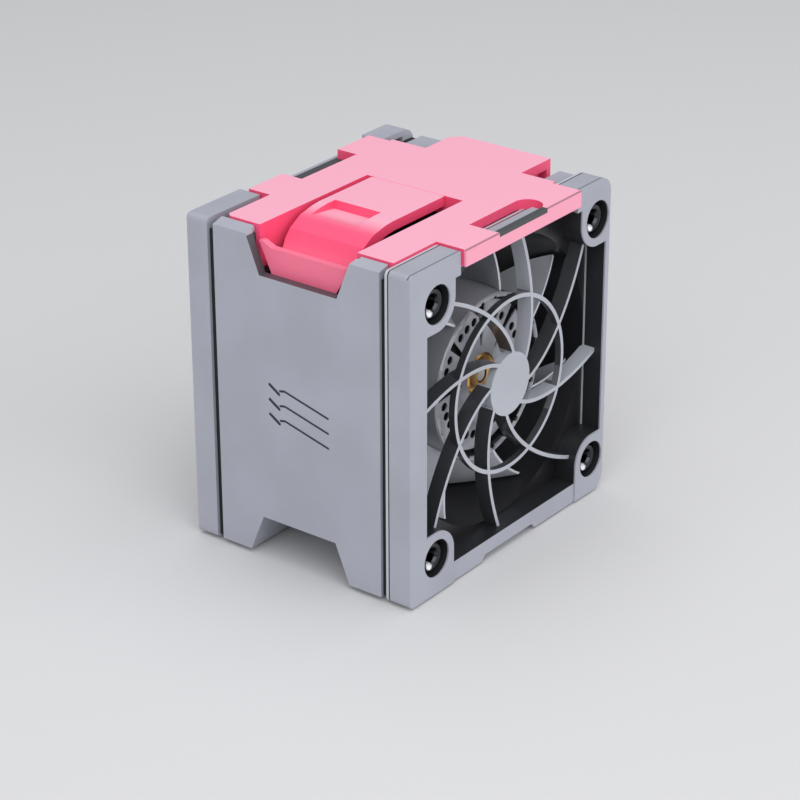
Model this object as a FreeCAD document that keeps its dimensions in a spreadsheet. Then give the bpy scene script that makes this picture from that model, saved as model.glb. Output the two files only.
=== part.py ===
import FreeCAD, Part
import math
import os
import re
import Sketcher

# Server fan module: a 60 mm axial fan in a carrier with a spiral inlet guard and a sprung latch.
# Millimetres. The origin is on the fan's axis, on the front face of the front frame.
# +X is right seen from the front, +Y runs to the rear with the air, +Z is up.

SIZES = {
    # fan size and outline
    "hole_pitch": 50.0,
    "hole_radius": 3.7,
    "hole_side_wall": 0.5,
    "left_margin": 8.0,
    "top_margin": 7.7,
    "base_margin": 7.2,
    "duct_wall": 1.2,
    "duct_inset": 0.1,
    "tip_clearance": 0.4,
    "moving_gap": 0.3,
    # stack from front to rear
    "front_thickness": 4.6,
    "flange_thickness": 0.8,
    "front_gap": 1.2,
    "casing_length": 37.6,
    "rear_gap": 1.4,
    "rear_thickness": 4.8,
    # front frame
    "window_margin": 3.3,
    "boss_radius": 5.25,
    "hole_depth": 2.3,
    "eyelet_radius": 2.15,
    "eyelet_bore": 1.5,
    "block_reach": 6.8,
    "top_bar_setback": 2.0,
    "base_bar_setback": 0.3,
    "base_notch_left": 10.5,
    "base_notch_right": 6.5,
    "base_notch_depth": 1.1,
    "left_corner_radius": 1.0,
    "right_corner_radius": 3.2,
    # guard
    "guard_front": 1.85,
    "guard_ring_radius": 17.3,
    "guard_ring_width": 0.8,
    "guard_ring_depth": 1.3,
    "guard_disc_radius": 6.14,
    "guard_disc_depth": 1.5,
    "guard_arm_width": 0.75,
    "guard_arm_depth": 3.0,
    "guard_arm_twist": 31.0,
    "guard_arm_phase": 157.5,
    # casing
    "side_wall": 1.8,
    "deck_thickness": 1.7,
    "deck_inset": 7.2,
    "base_lift": 0.5,
    "rail_width": 2.6,
    "rail_bevel": 0.7,
    "rail_height": 3.2,
    "post_radius": 4.2,
    "post_length": 5.0,
    "wall_recess_centre": 24.8,
    "wall_recess_top_half": 12.0,
    "wall_recess_low_half": 8.8,
    "wall_recess_height": 8.0,
    "base_channel_centre": 25.6,
    "base_channel_low_half": 11.7,
    "base_channel_top_half": 8.5,
    "base_channel_height": 7.7,
    "base_channel_reach": 15.0,
    "channel_skin": 1.1,
    # cover and latch
    "cover_rise": 0.4,
    "cover_thickness": 1.9,
    "cover_left_inset": 2.8,
    "cover_step_out": 0.9,
    "lip_front": 0.9,
    "lip_thickness": 1.1,
    "lip_height": 3.2,
    "slot_left": 8.0,
    "slot_right": 9.0,
    "slot_back": 5.7,
    "grip_front": 13.2,
    "grip_back": 35.5,
    "grip_inset": 0.8,
    "grip_drop": 4.1,
    "grip_wall": 1.2,
    "cavity_front": 13.5,
    "cavity_back": 35.5,
    "cavity_wall": 1.0,
    "cavity_drop": 6.5,
    "tab_inner": 8.2,
    "tab_reach": 2.9,
    "cover_rear_inset": 0.8,
    "latch_root": 0.45,
    "tongue_front": 17.5,
    "tongue_back": 34.2,
    "pad_inset": 2.1,
    "pad_thickness": 1.4,
    "pad_top_drop": 3.2,
    "pad_ear": 0.9,
    "scoop_inset": 20.5,
    "scoop_depth": 1.2,
    # isolators
    "isolator_inset": 0.7,
    # rear frame
    "rear_right_inset": 0.8,
    "rear_wall": 1.2,
    "rear_hole_radius": 2.8,
    "rear_top_drop": 1.9,
    # rotor
    "hub_radius": 16.3,
    "hub_front": 6.8,
    "hub_back": 36.0,
    "hub_face": 8.5,
    "hub_wall": 1.4,
    "petal_radius": 14.5,
    "rim_inner": 15.3,
    "bush_radius": 4.3,
    "bush_back": 13.5,
    "blade_count": 7,
    "blade_front": 7.6,
    "blade_back": 33.6,
    "blade_sweep": 22.0,
    "blade_wrap": 42.0,
    "blade_bow": 2.2,
    "blade_thickness": 1.3,
    "shaft_radius": 1.5,
    "shaft_back": 37.4,
    "yoke_back": 33.5,
    "yoke_wall": 0.9,
    "magnet_thickness": 1.5,
    "magnet_front": 14.0,
    "magnet_back": 32.0,
    # stator
    "core_radius": 11.9,
    "core_front": 17.0,
    "core_back": 30.0,
    "insulator_thickness": 1.1,
    "pole_half_width": 1.2,
    "coil_thickness": 1.1,
    "tube_radius": 5.2,
    "tube_bore": 4.0,
    "tube_front": 13.9,
    "bearing_width": 3.0,
    "front_bearing": 14.4,
    "rear_bearing": 33.0,
    "inner_ring_radius": 2.25,
    "ball_radius": 0.55,
    "race_clearance": 0.05,
    "base_disc_front": 38.6,
    "base_disc_thickness": 1.4,
    "board_front": 34.0,
    "board_thickness": 1.2,
    "board_radius": 13.4,
    "vane_count": 9,
    "vane_back": 43.6,
    "vane_sweep": 8.0,
    "vane_wrap": 9.0,
    "vane_bow": 1.4,
    "vane_thickness": 1.3,
    # connector
    "connector_width": 9.4,
    "connector_hole_gap": 4.6,
    "connector_front": 38.0,
    "connector_lift": 0.9,
    "connector_duct_gap": 0.35,
    "pin_radius": 0.35,
}

HOLE = "(hole_pitch / 2)"
LEFT = "(-hole_pitch / 2 - left_margin)"
RIGHT = "(hole_pitch / 2 + hole_radius + hole_side_wall)"
TOP = "(hole_pitch / 2 + top_margin)"
BASE = "(-hole_pitch / 2 - base_margin)"
DUCT_OUTER = f"({RIGHT} - duct_inset)"
DUCT = f"({RIGHT} - duct_wall)"
FLANGE_BACK = "(front_thickness + flange_thickness)"
CASE_FRONT = f"({FLANGE_BACK} + front_gap)"
CASE_BACK = f"({CASE_FRONT} + casing_length)"
REAR_FRONT = f"({CASE_BACK} + rear_gap)"
REAR_BACK = f"({REAR_FRONT} + rear_thickness)"
COVER_TOP = f"({TOP} + cover_rise)"
DECK_TOP = f"({COVER_TOP} - cover_thickness)"
DECK_UNDER = f"({DECK_TOP} - deck_thickness)"
CASE_BASE = f"({BASE} + base_lift)"
WALL_INNER = f"({LEFT} + side_wall)"
COVER_BACK = f"({CASE_BACK} - cover_rear_inset)"
YOKE_RADIUS = "(hub_radius - hub_wall - 0.05)"
YOKE_FRONT = "(hub_face + 2.6)"
WINDOW_TOP = "(hole_pitch / 2 + window_margin)"
BLOCK_INNER = "(hole_pitch / 2 - block_reach)"
COVER_HALF = f"({BLOCK_INNER} - moving_gap)"
COVER_STEP = f"({COVER_HALF} + cover_step_out)"
COVER_LEFT = f"({LEFT} + cover_left_inset)"
GRIP_RIGHT = f"({RIGHT} - grip_inset)"
DECK_RIGHT = f"({RIGHT} - deck_inset)"
PAD_FACE = f"({LEFT} + pad_inset)"
PAD_BACK = f"({PAD_FACE} + pad_thickness)"
SCOOP_START = f"({LEFT} + scoop_inset)"
REAR_RIGHT = f"({RIGHT} - rear_right_inset)"
CONNECTOR_RIGHT = f"({HOLE} - connector_hole_gap)"
CONNECTOR_LEFT = f"({CONNECTOR_RIGHT} - connector_width)"
CONNECTOR_LOW = f"({BASE} + connector_lift)"
CONNECTOR_TOP = f"(-sqrt({DUCT_OUTER}^2 - {CONNECTOR_LEFT}^2) - connector_duct_gap)"

doc = FreeCAD.newDocument("ServerFanModule")
sheet = doc.addObject("Spreadsheet::Sheet", "Sizes")
for row, (alias, number) in enumerate(SIZES.items(), 1):
    sheet.set(f"A{row}", alias)
    sheet.set(f"B{row}", str(number))
    sheet.setAlias(f"B{row}", alias)
doc.recompute()

nodes = []


def bound(expression):
    """The expression with every size name pointed at the sheet."""
    return re.sub(r"[a-z_]+", lambda word: "Sizes." + word[0] if word[0] in SIZES else word[0],
                  str(expression))


def value(expression):
    """The number that an expression gives now."""
    return float(sheet.evalExpression(str(expression)))


def bind(item, target, expression):
    item.setExpression(target, bound(expression))


def node(item, label):
    """Keep an object as a sub-part with a file of its own."""
    item.Label = label
    nodes.append(item)
    return item


def box(name, x, y, z):
    """A box between two places along each axis."""
    solid = doc.addObject("Part::Box", name)
    for side, axis, (low, high) in zip(("Length", "Width", "Height"), "xyz", (x, y, z)):
        bind(solid, side, f"{high} - ({low})")
        bind(solid, f"Placement.Base.{axis}", low)
    return solid


def drum(name, radius, front, back, x="0", z="0"):
    """A cylinder along the air's way."""
    solid = doc.addObject("Part::Cylinder", name)
    solid.Placement = FreeCAD.Placement(FreeCAD.Vector(), FreeCAD.Rotation(FreeCAD.Vector(1, 0, 0), -90))
    bind(solid, "Radius", radius)
    bind(solid, "Height", f"{back} - ({front})")
    bind(solid, "Placement.Base.x", x)
    bind(solid, "Placement.Base.y", front)
    bind(solid, "Placement.Base.z", z)
    return solid


def join(name, pieces, refine=True):
    fused = doc.addObject("Part::MultiFuse", name)
    fused.Shapes = pieces
    fused.Refine = refine
    return fused


def cut(name, base, tools):
    result = doc.addObject("Part::Cut", name)
    result.Base = base
    result.Tool = tools[0] if len(tools) == 1 else join(name + "_tools", tools)
    result.Refine = True
    return result


def common(name, first, second):
    result = doc.addObject("Part::Common", name)
    result.Base = first
    result.Tool = second
    result.Refine = True
    return result


def group(name, pieces):
    compound = doc.addObject("Part::Compound", name)
    compound.Links = pieces
    return compound


def feature(name, shape):
    solid = doc.addObject("Part::Feature", name)
    solid.Shape = shape
    solid.Placement = FreeCAD.Placement()
    return solid


def origin_part(body, role):
    return next(item for item in body.Origin.OriginFeatures if item.Role == role)


def sketch_on(body, name, plane, offset):
    """A sketch on an origin plane of its body, moved along that plane's axis."""
    sketch = body.newObject("Sketcher::SketchObject", name)
    sketch.AttachmentSupport = [(origin_part(body, plane + "_Plane"), "")]
    sketch.MapMode = "FlatFace"
    bind(sketch, "AttachmentOffset.Base.z", f"-({offset})" if plane == "XZ" else offset)
    return sketch


def polygon(sketch, corners):
    """A closed outline whose corners follow the sheet."""
    spots = [FreeCAD.Vector(value(across), value(up), 0) for across, up in corners]
    first = sketch.GeometryCount
    for index, spot in enumerate(spots):
        sketch.addGeometry(Part.LineSegment(spot, spots[(index + 1) % len(spots)]), False)
    for index, (across, up) in enumerate(corners):
        line = first + index
        following = first + (index + 1) % len(corners)
        sketch.addConstraint(Sketcher.Constraint("Coincident", line, 2, following, 1))
        for kind, place, number in (("DistanceX", across, spots[index].x),
                                    ("DistanceY", up, spots[index].y)):
            rule = sketch.addConstraint(Sketcher.Constraint(kind, line, 1, number))
            sketch.setExpression(f"Constraints[{rule}]", bound(place))


def circle(sketch, radius, across="0", up="0"):
    centre = FreeCAD.Vector(value(across), value(up), 0)
    ring = sketch.addGeometry(Part.Circle(centre, FreeCAD.Vector(0, 0, 1), value(radius)), False)
    for kind, place, number in (("DistanceX", across, centre.x), ("DistanceY", up, centre.y)):
        rule = sketch.addConstraint(Sketcher.Constraint(kind, ring, 3, number))
        sketch.setExpression(f"Constraints[{rule}]", bound(place))
    rule = sketch.addConstraint(Sketcher.Constraint("Radius", ring, value(radius)))
    sketch.setExpression(f"Constraints[{rule}]", bound(radius))


def pad(body, sketch, length):
    solid = body.newObject("PartDesign::Pad", sketch.Name + "_pad")
    solid.Profile = sketch
    solid.Reversed = sketch.AttachmentSupport[0][0].Role == "XZ_Plane"
    bind(solid, "Length", length)
    return solid


def pocket(body, sketch, length):
    """A pocket along the plane's positive axis."""
    hollow = body.newObject("PartDesign::Pocket", sketch.Name + "_pocket")
    hollow.Profile = sketch
    hollow.Type = "Length"
    hollow.Reversed = sketch.AttachmentSupport[0][0].Role != "XZ_Plane"
    bind(hollow, "Length", length)
    return hollow


def prism(name, plane, corners, low, high):
    """A straight block with the outline given on one origin plane."""
    body = doc.addObject("PartDesign::Body", name)
    sketch = sketch_on(body, name + "_outline", plane, low)
    polygon(sketch, corners)
    pad(body, sketch, f"{high} - ({low})")
    return body


def turned(name, corners):
    """A body turned about the fan's axis from corners given as radius and place along Y."""
    body = doc.addObject("PartDesign::Body", name)
    sketch = sketch_on(body, name + "_profile", "XY", "0")
    polygon(sketch, corners)
    solid = body.newObject("PartDesign::Revolution", name + "_turn")
    solid.Profile = sketch
    solid.ReferenceAxis = (sketch, ["V_Axis"])
    solid.Angle = 360
    return body


def repeat(body, original, count):
    """A polar pattern of one feature about the fan's axis."""
    pattern = body.newObject("PartDesign::PolarPattern", original.Name + "_pattern")
    pattern.Originals = [original]
    pattern.Axis = (origin_part(body, "Y_Axis"), [""])
    pattern.Angle = 360
    bind(pattern, "Occurrences", count)
    body.Tip = pattern
    return pattern


def round_edges(body, name, radius, chosen):
    """Fillet the edges of a body that the test picks."""
    doc.recompute()
    base = body.Tip
    edges = [f"Edge{index}" for index, edge in enumerate(base.Shape.Edges, 1) if chosen(edge)]
    fillet = body.newObject("PartDesign::Fillet", name)
    fillet.Base = (base, edges)
    bind(fillet, "Radius", radius)
    return fillet


def upright_corner(edge, side):
    """True for an edge along Y at the outline's top or base corner on that side."""
    middle = edge.CenterOfMass
    along = edge.tangentAt(edge.FirstParameter)
    level = min(abs(middle.z - value(TOP)), abs(middle.z - value(BASE)))
    return abs(along.y) > 0.99 and abs(middle.x - value(side)) < 0.01 and level < 0.01


def in_order(*ends):
    """Two places as a low end and a high end."""
    return tuple(sorted(ends, key=value))


def four_corners():
    return [(f"({side} * {HOLE})", f"({level} * {HOLE})") for side in (-1, 1) for level in (-1, 1)]


def outline_block(name, front, back, right, centre_top):
    """The module's rounded outline as a slab, with its top lowered between the corner blocks."""
    corners = [(LEFT, BASE), (right, BASE), (right, TOP), (BLOCK_INNER, TOP), (BLOCK_INNER, centre_top),
               (f"-{BLOCK_INNER}", centre_top), (f"-{BLOCK_INNER}", TOP), (LEFT, TOP)]
    body = prism(name, "XZ", corners, front, back)
    round_edges(body, name + "_left_round", "left_corner_radius", lambda edge: upright_corner(edge, LEFT))
    round_edges(body, name + "_right_round", "right_corner_radius",
                lambda edge: upright_corner(edge, right))
    return body


def window_space():
    """The front window as a block of space, with the corner bosses left out of it."""
    bosses = []
    for index, (x, z) in enumerate(four_corners()):
        side = "-1" if index < 2 else "1"
        level = "-1" if index % 2 == 0 else "1"
        wall_x = f"{side} * ({DUCT} + 1)"
        wall_z = f"{level} * ({WINDOW_TOP} + 1)"
        edge_x = f"{side} * (hole_pitch / 2 - boss_radius)"
        edge_z = f"{level} * (hole_pitch / 2 - boss_radius)"
        span = ("-2", "front_thickness + 2")
        bosses.append(drum(f"boss_{index}", "boss_radius", *span, x, z))
        bosses.append(box(f"boss_side_{index}", in_order(x, wall_x), span, in_order(edge_z, wall_z)))
        bosses.append(box(f"boss_level_{index}", in_order(edge_x, wall_x), span, in_order(z, wall_z)))
    window = box("window", (f"-{DUCT}", DUCT), ("-1", "front_thickness + 1"),
                 (f"-{WINDOW_TOP}", WINDOW_TOP))
    return cut("window_space", window, bosses)


def front_frame(window):
    slab = outline_block("front_slab", "0", "front_thickness", RIGHT, DECK_TOP)
    bar_half = "hole_pitch / 2 - boss_radius"
    notch_low = f"{BASE} - 1"
    notch_step = f"{BASE} + 0.2"
    notch_top = f"{BASE} + base_notch_depth"
    notch = [("-base_notch_left", notch_low), ("base_notch_right", notch_low),
             ("base_notch_right", notch_step),
             ("base_notch_right - 1", notch_top), ("1 - base_notch_left", notch_top),
             ("-base_notch_left", notch_step)]
    opened = cut("front_opened", slab, [window])
    tools = [
        box("top_bar_recess", (f"-{BLOCK_INNER}", BLOCK_INNER), ("-1", "top_bar_setback"),
            (f"{WINDOW_TOP} - 1", f"{TOP} + 1")),
        box("base_bar_recess", (f"-({bar_half})", bar_half), ("-1", "base_bar_setback"),
            (f"{BASE} - 1", f"1 - {WINDOW_TOP}")),
        prism("base_notch", "XZ", notch, "-1", "front_thickness - 1"),
    ]
    for index, (x, z) in enumerate(four_corners()):
        tools.append(drum(f"front_hole_{index}", "hole_radius", "-1", "hole_depth", x, z))
        tools.append(drum(f"front_eyelet_hole_{index}", "eyelet_radius", "-1", "front_thickness + 1", x, z))
    return node(cut("front_frame_part", opened, tools), "front_frame")


def spiral_arm(start, end, back):
    """One guard arm: a logarithmic spiral rib from the disc outwards."""
    width = value("guard_arm_width")
    twist = value("guard_arm_twist")
    phase = value("guard_arm_phase")
    knot = value("guard_ring_radius - guard_ring_width / 2")
    front = value("guard_front")
    sides = ([], [])
    steps = 6
    for step in range(steps + 1):
        radius = start * (end / start) ** (step / steps)
        angle = math.radians(phase + twist * math.log(radius / knot))
        lean = angle + math.atan(math.radians(twist))
        spot = FreeCAD.Vector(radius * math.cos(angle), front, radius * math.sin(angle))
        across = FreeCAD.Vector(-math.sin(lean), 0, math.cos(lean)) * (width / 2)
        sides[0].append(spot + across)
        sides[1].append(spot - across)
    edges = []
    for side in sides:
        curve = Part.BSplineCurve()
        curve.interpolate(side)
        edges.append(curve.toShape())
    edges.append(Part.makeLine(sides[0][0], sides[1][0]))
    edges.append(Part.makeLine(sides[0][-1], sides[1][-1]))
    face = Part.Face(Part.Wire(Part.__sortEdges__(edges)))
    return face.extrude(FreeCAD.Vector(0, back - front, 0))


def around(shape, count):
    """Equal copies of a shape round the fan's axis."""
    return [shape.rotated(FreeCAD.Vector(), FreeCAD.Vector(0, 1, 0),
                          360 * turn / count) for turn in range(count)]


def front_guard(window):
    """The moulded inlet guard: spiral arms that end on the window's walls, a ring and a blank disc."""
    arm = spiral_arm(value("guard_disc_radius") - 0.5, value(HOLE) * 1.5,
                     value("guard_front + guard_arm_depth"))
    arms = around(arm, 8)
    spokes = feature("guard_arms", arms[0].multiFuse(arms[1:]))
    depth = box("guard_depth", (LEFT, RIGHT), ("0", "front_thickness"), (BASE, TOP))
    in_frame = common("guard_in_frame", window, depth)
    in_duct = drum("guard_in_duct", f"{DUCT} - moving_gap", "0", "20")
    trimmed = common("guard_arms_in_window", spokes, join("guard_space", [in_frame, in_duct]))
    ring = turned("guard_ring", [("guard_ring_radius", "guard_front"),
                                 ("guard_ring_radius", "guard_front + guard_ring_depth"),
                                 ("guard_ring_radius - guard_ring_width", "guard_front + guard_ring_depth"),
                                 ("guard_ring_radius - guard_ring_width", "guard_front")])
    disc = drum("guard_disc", "guard_disc_radius", "guard_front", "guard_front + guard_disc_depth")
    return node(join("front_guard_part", [trimmed, ring, disc]), "front_guard")


def aerofoil(radius, sweep, lead, wrap, front, back, bend, thickness):
    """A closed section at one radius, leading edge first, as a wire."""
    out = FreeCAD.Vector(math.cos(sweep), 0, math.sin(sweep))
    ahead = FreeCAD.Vector(-math.sin(sweep), 0, math.cos(sweep))
    down = FreeCAD.Vector(0, 1, 0)
    sides = ([], [])
    steps = 4
    for step in range(steps + 1):
        share = step / steps
        along = lead - wrap * share
        bow = bend * math.sin(math.pi * share)
        half = thickness * (0.3 + 0.7 * math.sin(math.pi * min(1, share + 0.12))) / 2
        spot = out * radius + ahead * (along - bow) + down * (front + (back - front) * share)
        sides[0].append(spot + ahead * half)
        sides[1].append(spot - ahead * half)
    edges = []
    for side in sides:
        curve = Part.BSplineCurve()
        curve.interpolate(side)
        edges.append(curve.toShape())
    edges.insert(1, Part.makeLine(sides[0][-1], sides[1][-1]))
    edges.append(Part.makeLine(sides[0][0], sides[1][0]))
    return Part.Wire(Part.__sortEdges__(edges))


def foils(count, root, tip, front, back, sweep, wrap, bend, thickness):
    """Blades or vanes lofted between a root and a tip radius, cut to those radii."""
    stations = (root - 3, (root + tip) / 2, tip + 3)
    sections = []
    for radius in stations:
        share = (radius - root) / (tip - root)
        swept = math.radians(sweep * share)
        span = radius * math.radians(wrap) * (1.15 - 0.25 * share)
        sections.append(aerofoil(radius, swept, span / 2, span, front, back, bend * (1 - 0.4 * share),
                                 thickness))
    blade = Part.makeLoft(sections, True, False)
    axis = FreeCAD.Vector(0, 1, 0)
    start = FreeCAD.Vector(0, front - 5, 0)
    length = back - front + 10
    blade = blade.common(Part.makeCylinder(tip, length, start, axis))
    blade = blade.cut(Part.makeCylinder(root, length, start, axis))
    return around(blade, count)


def fan_frame():
    turn = turned("duct_tube", [(DUCT, "front_thickness"), (DUCT_OUTER, "front_thickness"),
                                (DUCT_OUTER, REAR_FRONT), (DUCT, REAR_FRONT)])
    plate = outline_block("flange_slab", "front_thickness", FLANGE_BACK, RIGHT, DECK_TOP)
    holes = [drum("flange_opening", DUCT, "0", "20")]
    for index, (x, z) in enumerate(four_corners()):
        holes.append(drum(f"flange_hole_{index}", "eyelet_radius", "0", "20", x, z))
    flange = cut("flange", plate, holes)
    return node(join("fan_frame_part", [turn, flange]), "fan_frame")


def motor_mount():
    """The motor's base with its ring of outlet vanes, which end on the duct's wall."""
    base = turned("motor_base", [
        ("tube_radius", "base_disc_front - 1.6"), ("tube_radius + 1.4", "base_disc_front - 1.6"),
        ("tube_radius + 1.4", "base_disc_front"), ("hub_radius - 1.2", "base_disc_front"),
        ("hub_radius - 1.2", "hub_back + 0.8"), ("hub_radius", "hub_back + 0.8"),
        ("hub_radius", "base_disc_front + base_disc_thickness - 0.6"),
        ("hub_radius - 0.6", "base_disc_front + base_disc_thickness"),
        ("0", "base_disc_front + base_disc_thickness"), ("0", "base_disc_front - 0.4"),
        ("tube_radius", "base_disc_front - 0.4")])
    blades = foils(int(value("vane_count")), value("hub_radius - 0.6"), value(DUCT), value("hub_back + 1"),
                   value("vane_back"), value("vane_sweep"), value("-vane_wrap"), value("-vane_bow"),
                   value("vane_thickness"))
    vanes = feature("outlet_vanes", blades[0].multiFuse(blades[1:]))
    return node(join("motor_mount_part", [base, vanes], False), "motor_mount")


def isolator(name, front, back, right):
    """Soft packing in the groove, open on the right where the duct meets the outline."""
    slab = box(name + "_slab", (f"{LEFT} + isolator_inset", f"{right} - isolator_inset"), (front, back),
               (f"{BASE} + isolator_inset", f"{DECK_TOP} - isolator_inset"))
    tools = [drum(name + "_duct", DUCT_OUTER, f"{front} - 1", f"{back} + 1")]
    for index, (x, z) in enumerate(four_corners()):
        tools.append(drum(f"{name}_hole_{index}", "eyelet_radius", f"{front} - 1", f"{back} + 1", x, z))
    if name == "rear_isolator":
        tools.append(connector_space(name))
    return node(cut(name + "_part", slab, tools), name)


def connector_space(name):
    """The space round the connector, a tenth clear of it on each side."""
    return box(name + "_connector_space", (f"{CONNECTOR_LEFT} - 0.1", f"{CONNECTOR_RIGHT} + 0.1"),
               ("connector_front - 0.1", f"{REAR_BACK} + 1"),
               (f"{CONNECTOR_LOW} - 0.1", f"{CONNECTOR_TOP} + 0.1"))


def channel_outline(skin, foot):
    """The side channel's six-cornered section, grown by a skin and carried a foot's length below the base."""
    low_half = f"base_channel_low_half + {skin}"
    top_half = f"base_channel_top_half + {skin}"
    ceiling = f"{CASE_BASE} + base_channel_height + {skin}"
    return [(f"base_channel_centre - ({low_half})", f"{CASE_BASE} - {foot}"),
            (f"base_channel_centre + {low_half}", f"{CASE_BASE} - {foot}"),
            (f"base_channel_centre + {low_half}", f"{CASE_BASE} + 0.01"),
            (f"base_channel_centre + {top_half}", ceiling),
            (f"base_channel_centre - ({top_half})", ceiling),
            (f"base_channel_centre - ({low_half})", f"{CASE_BASE} + 0.01")]


def casing():
    wall = box("side_wall_plate", (LEFT, WALL_INNER), (CASE_FRONT, CASE_BACK),
               (CASE_BASE, f"{TOP} - rail_bevel"))
    rail_corners = [(LEFT, f"{TOP} - rail_height"), (f"{LEFT} + rail_width", f"{TOP} - rail_height"),
                    (f"{LEFT} + rail_width", TOP), (LEFT, f"{TOP} - rail_bevel")]
    rail = prism("side_rail", "XZ", rail_corners, CASE_FRONT, CASE_BACK)
    top_deck = box("top_deck", (LEFT, DECK_RIGHT), (CASE_FRONT, CASE_BACK), (DECK_UNDER, DECK_TOP))
    low_deck = box("low_deck", (LEFT, DECK_RIGHT), (CASE_FRONT, CASE_BACK),
                   (CASE_BASE, f"{CASE_BASE} + deck_thickness"))
    pieces = [wall, rail, top_deck, low_deck]
    ends = (("front", CASE_FRONT, f"{CASE_FRONT} + post_length"),
            ("rear", f"{CASE_BACK} - post_length", CASE_BACK))
    for end, front, back in ends:
        for index, (x, z) in enumerate(four_corners()):
            far_z = f"{CASE_BASE} + 0.5" if index % 2 == 0 else f"{DECK_TOP} - 0.5"
            reach = sorted((z, far_z), key=value)
            pieces.append(drum(f"{end}_post_{index}", "post_radius", front, back, x, z))
            web = (f"{x} - post_radius", f"{x} + post_radius")
            pieces.append(box(f"{end}_post_web_{index}", web, (front, back), reach))
            if index < 2:
                pieces.append(box(f"{end}_post_tie_{index}", (LEFT, x), (front, back),
                                  (f"{z} - 2", f"{z} + 2")))
    skin = channel_outline("channel_skin", "0")
    pieces.append(prism("channel_shell", "YZ", skin, LEFT, f"{LEFT} + base_channel_reach"))
    shell = join("casing_shell", pieces)
    recess = prism("side_recess", "YZ", [
        ("wall_recess_centre - wall_recess_top_half - 0.4", f"{TOP} + 1"),
        ("wall_recess_centre - wall_recess_low_half", f"{TOP} - wall_recess_height"),
        ("wall_recess_centre + wall_recess_low_half", f"{TOP} - wall_recess_height"),
        ("wall_recess_centre + wall_recess_top_half + 0.4", f"{TOP} + 1")], f"{LEFT} - 1",
        f"{LEFT} + rail_width + 0.1")
    hollow = prism("side_channel", "YZ", channel_outline("0", "1"), f"{LEFT} - 1",
                   f"{LEFT} + base_channel_reach + 0.1")
    deck_opening = box("deck_opening", (WALL_INNER, "latch_root + moving_gap + cavity_wall"),
                       ("cavity_front - cavity_wall - 0.1", "cavity_back + cavity_wall + 0.1"),
                       (f"{DECK_UNDER} - 1", f"{TOP} + 1"))
    tools = [recess, hollow, deck_opening, drum("casing_duct", DUCT_OUTER, "0", REAR_BACK),
             connector_space("casing")]
    for index, (x, z) in enumerate(four_corners()):
        tools.append(drum(f"casing_hole_{index}", "eyelet_radius", "0", REAR_BACK, x, z))
    return node(cut("casing_part", shell, tools), "casing")


def rear_frame():
    slab = outline_block("rear_slab", REAR_FRONT, REAR_BACK, REAR_RIGHT, f"{TOP} - rear_top_drop")
    tools = [drum("rear_window", f"{REAR_RIGHT} - rear_wall", "0", f"{REAR_BACK} + 1"),
             connector_space("rear_frame")]
    for index, (x, z) in enumerate(four_corners()):
        tools.append(drum(f"rear_hole_{index}", "rear_hole_radius", f"{REAR_BACK} - hole_depth",
                          f"{REAR_BACK} + 1", x, z))
        tools.append(drum(f"rear_eyelet_hole_{index}", "eyelet_radius", "0", f"{REAR_BACK} + 1", x, z))
    for side in (-1, 1):
        reach = in_order(f"{side} * ({HOLE} - 6)", f"{side} * ({HOLE} - 0.2)")
        depth = (f"{REAR_FRONT} - 1", f"{REAR_BACK} - 1.4")
        tools.append(box("rear_pocket", reach, depth, (f"{TOP} - 2.8", f"{TOP} - 1.2")))
    return node(cut("rear_frame_part", slab, tools), "rear_frame")


def cavity_side(name, front, back):
    """A cover wall that hangs beside the latch, shaped to clear the duct."""
    end = "latch_root + moving_gap + cavity_wall"
    corners = [(end, DECK_TOP), (COVER_LEFT, DECK_TOP), (COVER_LEFT, f"{DECK_TOP} - cavity_drop"),
               (f"{LEFT} + 14", f"{DECK_TOP} - cavity_drop"), (f"{LEFT} + 24", f"{DECK_TOP} - 2.2"),
               (end, f"{DECK_TOP} - 1.6")]
    return prism(name, "XZ", corners, front, back)


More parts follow.
